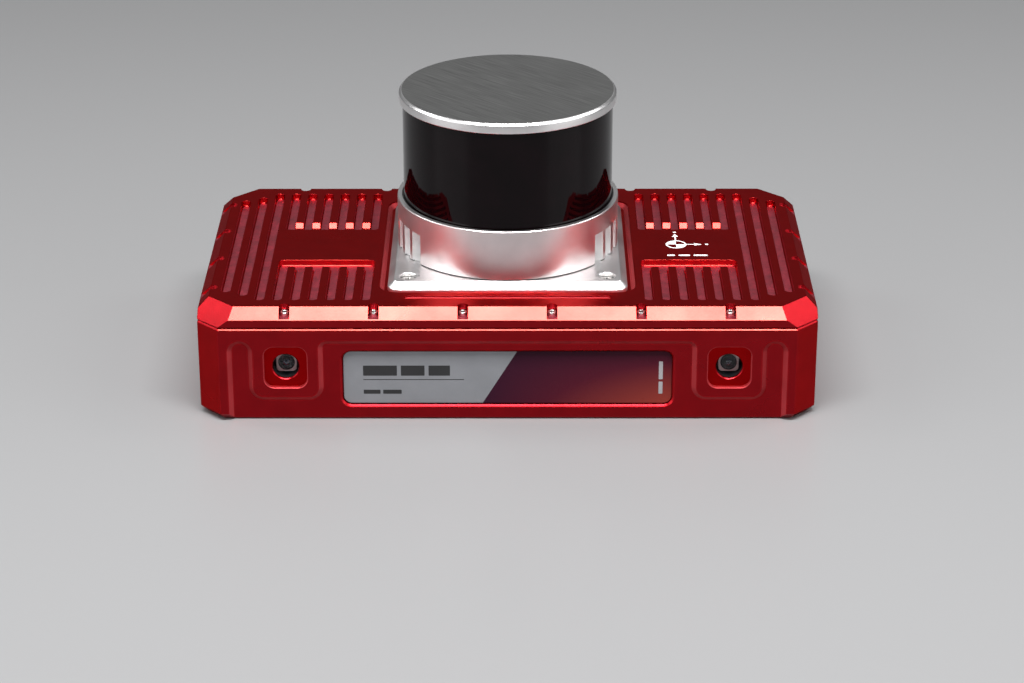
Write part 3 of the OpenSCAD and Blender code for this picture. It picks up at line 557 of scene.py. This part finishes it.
SCREW_IN, NOTCH_R = 5.7, 2.42
LONG_SIDE = (-100, -60, -20, 20, 60, 100)
SHORT_SIDE = (-51.75, -17.25, 17.25, 51.75)
spots = [(x, -HALF_D + SCREW_IN, 0) for x in LONG_SIDE]
spots += [(x, HALF_D - SCREW_IN, 180) for x in LONG_SIDE]
spots += [(HALF_W - SCREW_IN, y, 90) for y in SHORT_SIDE]
spots += [(SCREW_IN - HALF_W, y, -90) for y in SHORT_SIDE]
screw_centres = [(x, y) for x, y, _ in spots]
NOTCH_Z = TOP - 4.5
notches = []
for x, y, facing in spots:
    plan = [(-NOTCH_R, -SCREW_IN - 3), (NOTCH_R, -SCREW_IN - 3)] + arc(0, 0, NOTCH_R, 0, 180, 12)
    a = math.radians(facing)
    turned = [(x + u * math.cos(a) - v * math.sin(a), y + u * math.sin(a) + v * math.cos(a))
              for u, v in plan]
    notches.append(loft("cutter", [[(u, v, z) for u, v in turned] for z in (NOTCH_Z, TOP + 2)]))
cut(cover, channels, slots, slopes, [sink], [groove], notches)
show(cover, "top_cover_skin", "housing", "housing", replaces=("top_cover",))
# Width of the rim that holds the screw notches.
RIM = 9.0


def cover_finish(at, normal):
    below = TOP - at.z
    in_notch = abs(at.x) > HALF_W - RIM or abs(at.y) > HALF_D - RIM
    slotted = SLOT_FIRST - SLOT_W < abs(at.x) < HALF_W - RIM and abs(at.y) < SLOT_END + 0.2
    # Chamfers and slot slopes that face up and out take the painted highlight.
    if 0.5 < normal.z < 0.85 and abs(normal.x) < 0.1 and (abs(at.y) > HALF_D - 5.0 or slotted):
        return "bevel"
    if slotted and 0.1 < below < SLOT_DEEP + 0.1:
        if normal.z > 0.9 and below > SLOT_DEEP - 0.15:
            return "milled"
        # Slot walls take the lighter red of painted light.
        return "slot_wall" if normal.z < 0.5 else None
    if in_notch and abs(at.z - NOTCH_Z) < 0.05 and normal.z > 0.99:
        return "milled"
    # Notch walls take the same painted light.
    if in_notch and below < TOP - NOTCH_Z and abs(normal.z) < 0.05:
        return "slot_wall"
    # The lidar pocket's sloped wall takes the blasted red with painted bounce light.
    if not slotted and not in_notch and 0.4 < below < POCKET_DEEP and 0.4 < normal.z < 0.95:
        return "blend"
    return None


paint(cover, ("milled", "slot_wall", "blend", "bevel"), cover_finish)


# ---------------------------------------------------------------- lower housing

TUB_H, BASE_BEVEL = tub_hi.z, 3.4
tub = loft("lower_housing_skin", [
    octagon(BASE_BEVEL, BASE_BEVEL, 0), octagon(0, 0, BASE_BEVEL),
    octagon(0, 0, TUB_H - 1.0), octagon(1.0, 1.0, TUB_H),
])
round_edges(tub, 0.2)

CAMERA_X, CAMERA_Z, HOLE_R = 100.0, 26.2, 6.0
RECESS_Z, RECESS_W, RECESS_H = 26.45, 20.0, 20.5
FIELD_TOP, FIELD_X, FIELD_R, FIELD_DEEP = 39.65, 126.5, 4.0, 2.6
BLOCK_HALF, BLOCK_Z, BLOCK_R = 14.5, 12.0, 4.5
FRONT = -HALF_D


def field_outline(inset):
    """Right half of the sunk field's edge from the outside in, then mirrored."""
    outer = CAMERA_X + BLOCK_HALF
    inner = CAMERA_X - BLOCK_HALF
    finger = (FIELD_X - outer) / 2
    half = [(FIELD_X - inset, -20.0)]
    half += arc(FIELD_X - finger, FIELD_TOP - finger, finger - inset, 0, 180, 20)
    half += arc(outer - BLOCK_R, BLOCK_Z + BLOCK_R, BLOCK_R + inset, 0, -90, 10)
    half += arc(inner + BLOCK_R, BLOCK_Z + BLOCK_R, BLOCK_R + inset, -90, -180, 10)
    half += arc(inner - FIELD_R, FIELD_TOP - FIELD_R, FIELD_R - inset, 0, 90, 10)
    return half + mirrored_x(half)


field_wall = [(3.0, -2.6), (2.62, -2.5), (2.3, -2.28), (0.36, -0.34), (0.1, -0.13), (-0.2, -0.02),
              (-0.5, 0.08), (-0.5, 3.0)]
field = loft("cutter", [
    [(x, FRONT - z, y) for x, y in field_outline(inset)] for inset, z in field_wall
])
PLATE_Z = (plate_lo.z + plate_hi.z) / 2
FIELD_Y = FRONT + FIELD_DEEP
label_wall = [(1.0, -2.8), (1.0, -1.1), (0.85, -0.85), (0.08, -0.14), (-0.12, -0.03),
              (-0.3, 0.06), (-0.3, 1.2)]
label_sink = pocket(151.0, 28.2, 5.0, label_wall, (0, FIELD_Y, PLATE_Z), 12, True)
recess_wall = [(0.6, -2.0), (0.4, -1.93), (0.32, -1.78), (0.3, -0.32), (0.04, -0.07), (-0.16, 0.04),
               (-0.16, 1.0)]
recesses, holes, chamfers, windows_in = [], [], [], []
for side in (-1, 1):
    x = side * CAMERA_X
    recesses.append(pocket(RECESS_W, RECESS_H, 4.8, recess_wall, (x, FRONT, RECESS_Z), 10, True))
    chamfers.append(rod(x, CAMERA_Z, FRONT + 1.7, FRONT + 2.35, HOLE_R + 0.65, 48, HOLE_R))
    holes.append(rod(x, CAMERA_Z, FRONT + 1.0, FRONT + 4.2, HOLE_R, 48))
    windows_in.append(rod(x, CAMERA_Z, FRONT + 3.8, FRONT + 12.0, 8.2, 48))
PANEL_Z = 24.0
rear = [rod(x, PANEL_Z, HALF_D - 8, HALF_D + 1, r, 48) for x, r in
        ((-80, 6.2), (-40, 6.2), (0, 4.05), (40, 3.27), (80, 3.27))]
foot_holes = [(x, y) for x in (-110, 110) for y in (-60, 60)]
feet = [disc(x, y, -1, 10, 2.5) for x, y in foot_holes]
foot_rims = [disc(x, y, -0.5, 0.6, 3.6, 40, 2.45) for x, y in foot_holes]
INNER = 5.0
cavity = loft("cutter", [
    [(sx * x, sy * y, z) for sx, sy, x, y in (
        (1, -1, 127, 69), (1, -1, 135, 61), (1, 1, 135, 65), (1, 1, 127, 73),
        (-1, 1, 127, 73), (-1, 1, 135, 65), (-1, -1, 135, 61), (-1, -1, 127, 69))]
    for z in (INNER, TUB_H + 2)
])
bosses = [disc(x, y, INNER, TUB_H, 4.0) for x, y in screw_centres]
bosses += [disc(x, y, INNER, 13, 7.0) for x, y in foot_holes]
combine(cavity, [merge(bosses)])
cut(tub, [cavity], [field], [label_sink], recesses, chamfers, holes, windows_in, rear, feet,
    foot_rims)
show(tub, "lower_housing_skin", "housing", "housing", replaces=("lower_housing",))


def tub_finish(at, normal):
    deep = at.y - FRONT
    in_recess = abs(abs(at.x) - CAMERA_X) < 10.6 and abs(at.z - RECESS_Z) < 10.8
    if in_recess and 1.7 < deep < 2.1 and normal.y < -0.9:
        return "recess_floor"
    # Camera recess walls and the sunk field's slopes take the blasted red with painted bounce
    # light.
    if in_recess and deep < 2.1 and abs(normal.y) < 0.9:
        return "blend"
    if not in_recess and 0.8 < deep < 1.9 and 0.5 < abs(normal.y) < 0.9:
        return "blend"
    # The chamfer on the top edge takes the painted highlight.
    if at.z > TUB_H - 1.1 and 0.3 < normal.z < 0.95 and abs(normal.x) < 0.1:
        return "bevel"
    return None


paint(tub, ("recess_floor", "blend", "bevel"), tub_finish)


# ---------------------------------------------------------------- screws

def socket_screw(x, y, seat, head_r, head_h, key_r, shank_r, shank_end):
    """A socket head screw: knurled head, rounded rim, hexagon socket with a drilled bottom."""
    angles = turns(48)

    def ring(r, z, knurl=0.0):
        points = []
        for i, a in enumerate(angles):
            out = r - knurl * (i % 2)
            points.append((x + out * math.cos(a), y + out * math.sin(a), z))
        return points

    def hexagon(r, z):
        sixth = math.pi / 3
        points = []
        for a in angles:
            out = r / math.cos((a % sixth) - sixth / 2)
            points.append((x + out * math.cos(a), y + out * math.sin(a), z))
        return points

    top = seat + head_h
    knurl = head_r * 0.035
    deep = top - head_h * 0.55
    return loft("screw", [
        ring(shank_r * 0.7, shank_end), ring(shank_r, shank_end + 0.5), ring(shank_r, seat),
        ring(head_r * 0.93, seat), ring(head_r, seat + head_h * 0.1, knurl),
        ring(head_r, seat + head_h * 0.72, knurl), ring(head_r * 0.97, seat + head_h * 0.86),
        ring(head_r * 0.9, seat + head_h * 0.96), ring(head_r * 0.8, top),
        ring(key_r * 1.3, top), hexagon(key_r * 1.04, top - head_h * 0.08),
        hexagon(key_r, top - head_h * 0.14), hexagon(key_r, deep), ring(key_r * 0.9, deep),
        ring(key_r * 0.05, deep - head_h * 0.15),
    ])


def screw_set(name, node, centres, seat, dark_r, **sizes):
    """Equal screws as one piece, with painted shade that makes their sockets nearly black."""
    screws = merge([socket_screw(x, y, seat, **sizes) for x, y in centres])
    show(screws, name, "housing", "steel", replaces=(node,), angle=28)

    def finish(at, normal):
        near = min(math.hypot(at.x - x, at.y - y) for x, y in centres)
        # Faces inside a socket take painted shade.
        return "shadow_gap" if near < dark_r and at.z > seat else None

    paint(screws, ("shadow_gap",), finish)


screw_set("cover_screw_set", "cover_screws", screw_centres, NOTCH_Z, dark_r=0.99,
          head_r=2.0, head_h=1.85, key_r=0.95, shank_r=1.22, shank_end=screws_lo.z)
head_lo, head_hi = box_mm("lidar_screws")
LIDAR_HEAD_R, LIDAR_HEAD_H = 3.3, 1.9
LIDAR_SCREW = head_hi.x - LIDAR_HEAD_R
lidar_centres = [(sx * LIDAR_SCREW, sy * LIDAR_SCREW) for sx in (-1, 1) for sy in (-1, 1)]
screw_set("lidar_screw_set", "lidar_screws", lidar_centres, head_hi.z - LIDAR_HEAD_H, dark_r=1.45,
          head_r=LIDAR_HEAD_R, head_h=LIDAR_HEAD_H, key_r=1.4, shank_r=1.95, shank_end=head_lo.z)


# ---------------------------------------------------------------- lidar body

FOOT_TOP = TOP + 2.8
FOOT_HALF, FOOT_R, FOOT_BEVEL = base_hi.x, 6.0, 3.2
R = 51.5
base_top = base_hi.z
foot_rings = []
for inset, z in ((0.0, base_lo.z), (0.0, FOOT_TOP - FOOT_BEVEL), (FOOT_BEVEL, FOOT_TOP)):
    side = 2 * FOOT_HALF - 2 * inset
    foot_rings.append([(x, y, z) for x, y in rounded_rect(side, side, FOOT_R - inset, 10)])
foot = loft("foot", foot_rings)
round_edges(foot, 0.3, 3)
SEAT_R, SEAT_Z, INNER_R = 49.4, base_top - 4.2, 44.0
FLOOR_Z = base_lo.z + 4.0
drum = lathe("drum", [
    (0.0, base_lo.z + 1), (R - 0.9, base_lo.z + 1), (R - 0.9, FOOT_TOP + 0.4),
    (R - 0.1, FOOT_TOP + 0.42), (R, FOOT_TOP + 0.5), (R, base_top - 0.75),
    (R - 0.08, base_top - 0.35), (R - 0.3, base_top - 0.1), (R - 0.65, base_top),
    (SEAT_R, base_top), (SEAT_R, SEAT_Z), (INNER_R, SEAT_Z), (INNER_R, FLOOR_Z), (0.0, FLOOR_Z),
])
hollow = disc(0, 0, FLOOR_Z, base_top + 5, INNER_R, LATHE_STEPS)
lead_hole = disc(0, 0, base_lo.z - 1, FLOOR_Z + 1, 9.0, 48)
combine(foot, [hollow])
combine(foot, [drum], "UNION")
FIN_T, FIN_TOP = 1.1, FOOT_TOP + 14.7
fins = []
start = 40.1
for face_y in (26.8, 19.4, 11.4, 3.8):
    reach = math.sqrt(R * R - face_y * face_y)
    for sx in (-1, 1):
        for sy in (-1, 1):
            xs = sorted((sx * start, sx * (reach + 0.3)))
            ys = sorted((sy * face_y, sy * (R + 1)))
            fins.append(block((xs[0], ys[0], FOOT_TOP), (xs[1], ys[1], FIN_TOP)))
    start = reach + FIN_T
DOT_X = 40.5
bores, rims, dots = [], [], []
for x, y in lidar_centres:
    bores.append(disc(x, y, FOOT_TOP - 3.4, FOOT_TOP + 1, 3.8, 48))
    rims.append(disc(x, y, FOOT_TOP - 0.4, FOOT_TOP + 0.15, 3.75, 48, 4.3))
    dots.append(disc(math.copysign(DOT_X, x), y, FOOT_TOP - 1.5, FOOT_TOP + 1, 0.42, 24))
cut(foot, fins, bores, rims, dots, [lead_hole])
show(foot, "lidar_base_skin", "housing", "silver", replaces=("lidar_base",), angle=28)


def foot_finish(at, normal):
    out = math.hypot(at.x, at.y)
    if FOOT_TOP + 0.02 < at.z < FOOT_TOP + 0.38 and R - 1.0 < out < R - 0.5:
        return "shadow_gap"
    # The drum's side takes the pink-tinted silver of the painted reflection.
    if at.z > FOOT_TOP + 0.4 and out > R - 0.7 and abs(normal.z) < 0.95:
        return "drum"
    return None


paint(foot, ("shadow_gap", "drum"), foot_finish)


# ---------------------------------------------------------------- window, seal and cap

WINDOW_R, WINDOW_IN = 48.6, 45.6
window = lathe("window", [
    (WINDOW_IN, window_lo.z), (WINDOW_R, window_lo.z), (WINDOW_R, window_hi.z - 0.2),
    (WINDOW_R - 0.2, window_hi.z), (WINDOW_IN, window_hi.z),
])
show(window, "lidar_window_drum", "housing", "window", replaces=("lidar_window",))
lower_seal = lathe("lower_seal", [
    (WINDOW_IN, SEAT_Z), (SEAT_R - 0.02, SEAT_Z), (SEAT_R - 0.02, base_top - 0.9),
    (SEAT_R - 0.2, base_top - 0.65), (WINDOW_R + 0.25, base_top - 0.6),
    (WINDOW_R + 0.02, base_top - 0.8), (WINDOW_R + 0.02, window_lo.z), (WINDOW_IN, window_lo.z),
])
show(lower_seal, "lower_seal_ring", "housing", "rubber", replaces=("lower_window_seal",))
CAP_R = cap_hi.x
cap = lathe("cap", [
    (0.0, cap_lo.z), (WINDOW_IN - 0.2, cap_lo.z), (WINDOW_IN - 0.2, window_hi.z + 0.5),
    (CAP_R - 0.5, window_hi.z + 0.5), (CAP_R - 0.15, window_hi.z + 0.62),
    (CAP_R, window_hi.z + 0.95), (CAP_R, cap_hi.z - 1.3), (CAP_R - 0.16, cap_hi.z - 0.96),
    (CAP_R - 0.96, cap_hi.z - 0.16), (CAP_R - 1.3, cap_hi.z), (0.0, cap_hi.z),
])
show(cap, "lidar_cap_disc", "housing", "silver", replaces=("lidar_cap",), angle=28)
paint(cap, ("cap_top",), lambda at, normal: (
    "cap_top" if normal.z > 0.99 and at.z > cap_hi.z - 0.1 else None))


# ---------------------------------------------------------------- label

# Thickness of a printed film.
INK = 0.03


def front_sheet(name, outline, y_back, y_front):
    """A thin printed shape on the front, from an outline of (x, z) points."""
    return loft(name, [[(x, y, z) for x, z in outline] for y in (y_back, y_front)])


PLATE_Y = plate_lo.y
half_w = (plate_hi.x - plate_lo.x) / 2
half_h = (plate_hi.z - plate_lo.z) / 2
plate_wall = [(0.0, 0.0), (0.0, 0.85), (0.06, 0.95), (0.16, 1.0)]
plate = loft("label", [
    [(x, plate_hi.y - z, PLATE_Z + y) for x, y in
     rounded_rect(2 * (half_w - i), 2 * (half_h - i), 3.8 - i, 12)] for i, z in plate_wall
])
show(plate, "label_backing", "housing", "label", replaces=("label_plate",))
SPLIT_TOP, SPLIT_BOTTOM = 4.3, -11.2
PANEL_R, PANEL_IN = 3.6, 0.2
edge_x, edge_z = half_w - PANEL_IN, half_h - PANEL_IN
left_panel = [(SPLIT_BOTTOM, -edge_z), (SPLIT_TOP, edge_z)]
left_panel += arc(PANEL_R - edge_x, edge_z - PANEL_R, PANEL_R, 90, 180, 12)
left_panel += arc(PANEL_R - edge_x, PANEL_R - edge_z, PANEL_R, 180, 270, 12)
panel_outline = [(x, PLATE_Z + z) for x, z in left_panel]
panel = front_sheet("panel", panel_outline, PLATE_Y + 0.02, PLATE_Y - INK)
show(panel, "label_panel", "housing", "label", "label_silver")


def rect(x0, z0, x1, z1, r=0.25):
    """Outline of a round-cornered bar between two corners."""
    return [((x0 + x1) / 2 + x, (z0 + z1) / 2 + z) for x, z in rounded_rect(x1 - x0, z1 - z0, r, 3)]


marks = merge([front_sheet("mark", rect(*r), PLATE_Y, PLATE_Y - 2 * INK) for r in (
    (-65.3, 20.6, -50.0, 25.6), (-48.2, 20.6, -37.5, 25.6), (-35.7, 20.6, -26.0, 25.6),
    (-65.3, 18.5, -19.7, 18.85, 0.1), (-65.2, 11.6, -57.6, 13.6), (-56.4, 11.6, -48.0, 13.6),
)])
show(marks, "label_marks", "housing", "label", "ink")
side_marks = merge([front_sheet("mark", rect(*r), PLATE_Y, PLATE_Y - INK) for r in (
    (68.4, 11.6, 70.2, 17.6), (68.4, 18.8, 70.2, 27.6),
)])
show(side_marks, "label_side_marks", "housing", "label", "grey_ink")

# The label's right half: plum, glowing towards its lower right corner.
tint = Shader("label_tint", (0.04, 0.012, 0.02), 0.0, 0.3, Specular_IOR_Level=0.08)
parts = tint.tree.nodes.new("ShaderNodeSeparateXYZ")
tint.tree.links.new(tint.where, parts.inputs["Vector"])
across = tint.span(parts.outputs["X"], 0.0, 1.0, -0.012, 0.074)
down = tint.span(parts.outputs["Z"], 0.55, 0.0, 0.007, 0.033)
glow = tint.calc("MULTIPLY", across, down)
wash = tint.calc("MULTIPLY_ADD", glow, 1.5, tint.span(across, 0.0, 0.18, 0.0, 1.0))
tint.feed(tint.bsdf, "Base Color", tint.ramp(wash, [
    (0.0, (0.022, 0.005, 0.014)), (0.35, (0.055, 0.006, 0.014)), (1.0, (0.2, 0.03, 0.02)),
]))
tint.vary_rough(tint.noise(60.0), 0.05)
tint.bump(tint.noise(1800.0), 0.05, 0.02)
plate.data.materials[0] = tint.material


# ---------------------------------------------------------------- printed axis marks

def top_shape(outline, hole=None):
    """A thin printed shape on the cover from an outline of (x, y) points, or a ring."""
    z0, z1 = TOP - 0.02, TOP + INK
    if hole is None:
        return loft("print", [[(x, y, z) for x, y in outline] for z in (z0, z1)])
    count = len(outline)
    points = [(x, y, z) for z in (z0, z1) for ring in (outline, hole) for x, y in ring]
    faces = []
    for i in range(count):
        j = (i + 1) % count
        a, b, c, d = i, j, count + j, count + i
        faces.append((a, b, c, d))
        faces.append(tuple(2 * count + k for k in (d, c, b, a)))
        faces.append((a, b, 2 * count + b, 2 * count + a))
        faces.append((d, c, 2 * count + c, 2 * count + d))
    return mesh_object("print", points, faces)


# Centre and radius of the printed target, and half the width of its arrows' shafts.
AX, AY, AR, SHAFT = 79.2, 0.0, 4.9, 0.35
prints = [top_shape(arc(AX, AY, AR, 0, 352.5, 47), arc(AX, AY, AR - 0.8, 0, 352.5, 47))]
for start_deg in (90, 270):
    prints.append(top_shape([(AX, AY)] + arc(AX, AY, AR - 0.7, start_deg, start_deg + 90, 12)))
prints += [top_shape(shape) for shape in (
    [(AX - SHAFT, AY + AR - 0.1), (AX + SHAFT, AY + AR - 0.1), (AX + SHAFT, 10.4),
     (AX - SHAFT, 10.4)],
    [(AX - 1.5, 9.6), (AX, 9.9), (AX + 1.5, 9.6), (AX, 13.2)],
    [(AX + AR - 0.1, -SHAFT), (88.4, -SHAFT), (88.4, SHAFT), (AX + AR - 0.1, SHAFT)],
    [(87.6, -1.5), (91.4, 0.0), (87.6, 1.5), (87.9, 0.0)],
    [(AX + u, 15.4 + v) for u, v in rounded_rect(1.5, 1.5, 0.7, 4)],
    [(93.6 + u, v) for u, v in rounded_rect(1.5, 1.5, 0.7, 4)],
    [(76.2 + u, v - 13.6) for u, v in rounded_rect(3.6, 1.5, 0.5, 4)],
    [(82.4 + u, v - 13.6) for u, v in rounded_rect(5.4, 1.5, 0.5, 4)],
    [(90.0 + u, v - 13.6) for u, v in rounded_rect(6.6, 1.5, 0.5, 4)],
)]
show(merge(prints), "axis_marks", "housing", "label", "white_ink")


# ---------------------------------------------------------------- cameras

clear = Shader("window_glass", (0.01, 0.012, 0.015), 0.0, 0.03, Alpha=0.08,
               Specular_IOR_Level=0.2)
clear.bump(clear.noise(30.0), 0.01, 0.01)
clear.vary_rough(clear.noise(400.0), 0.015)
MAT["clear"] = clear.material
GLASS_EDGE = 0.15
for side, x in (("left", -CAMERA_X), ("right", CAMERA_X)):
    glass_lo, glass_hi = box_mm(f"{side}_camera_window")
    r = glass_hi.x - x
    y0, y1 = glass_lo.y, glass_hi.y
    rings = [(r - GLASS_EDGE, y0), (r, y0 + GLASS_EDGE), (r, y1 - GLASS_EDGE), (r - GLASS_EDGE, y1)]
    glass = loft("glass", [
        [(x + rr * math.cos(a), y, CAMERA_Z + rr * math.sin(a)) for a in turns(64)]
        for rr, y in rings
    ])
    show(glass, f"{side}_window_glass", "housing", "lens", "clear", (f"{side}_camera_window",))

# The rest of the CAD keeps its shape and takes its finish from its slot.
for entry in frame["record"]["subparts"]:
    obj = nodes[entry["node"]]
    obj.data.materials.clear()
    obj.data.materials.append(MAT[entry["material_slot"]])

# Inside each camera only the square lens holder is bare metal; its pale pinkish colour is painted
# light for a part that sits in shade behind the window.
HOLDER_REACH, HOLDER_BACK = 6.2, FRONT + 9.8
for side, x in (("left", -CAMERA_X), ("right", CAMERA_X)):
    body = nodes[f"{side}_camera_body"]
    body.data.materials.clear()
    body.data.materials.append(MAT["holder"])
    body.data.materials.append(MAT["black"])
    for face in body.data.polygons:
        at = body.matrix_world @ face.center / MM
        reach = math.hypot(at.x - x, at.z - CAMERA_Z)
        if reach > HOLDER_REACH or at.y > HOLDER_BACK:
            face.material_index = 1


# ---------------------------------------------------------------- studio

HALF_FLOOR, FLOOR_LEVEL = 12.0, -0.0002
floor_mesh = bpy.data.meshes.new("studio_floor")
floor_corners = [(HALF_FLOOR * sx, HALF_FLOOR * sy, FLOOR_LEVEL)
                 for sx, sy in ((-1, -1), (1, -1), (1, 1), (-1, 1))]
floor_mesh.from_pydata(floor_corners, [], [(0, 1, 2, 3)])
studio_floor = bpy.data.objects.new("studio_floor", floor_mesh)
bpy.context.scene.collection.objects.link(studio_floor)
floor_shader = Shader("pale_floor", (0.22, 0.22, 0.223), 0.0, 0.4)
floor_mesh.materials.append(floor_shader.material)

AIM = Vector((0.0, 0.0, 0.05))


def softbox(name, at, size, power):
    """A rectangular light aimed at the object."""
    data = bpy.data.lights.new(name, "AREA")
    data.shape = "RECTANGLE"
    data.size, data.size_y = size
    data.energy = power
    lamp = bpy.data.objects.new(name, data)
    bpy.context.scene.collection.objects.link(lamp)
    lamp.location = at
    lamp.rotation_euler = (AIM - Vector(at)).to_track_quat("-Z", "Y").to_euler()
    lamp.visible_camera = False


softbox("key", (0.0, -0.55, 1.25), (1.3, 0.3), 42.0)
softbox("back_panel", (0.0, 2.4, 1.15), (3.2, 1.2), 3.1)
for hand in (-1, 1):
    softbox("side_panel", (1.15 * hand, -0.55, 0.5), (1.0, 0.8), 8.0)
    softbox("high_panel", (1.05 * hand, 0.25, 0.95), (0.5, 0.5), 4.5)

world = bpy.data.worlds.new("studio")
world.use_nodes = True
background = world.node_tree.nodes["Background"].inputs
background["Color"].default_value = (0.9, 0.92, 0.95, 1.0)
background["Strength"].default_value = 0.11
bpy.context.scene.world = world
bpy.context.scene.view_settings.view_transform = "Standard"
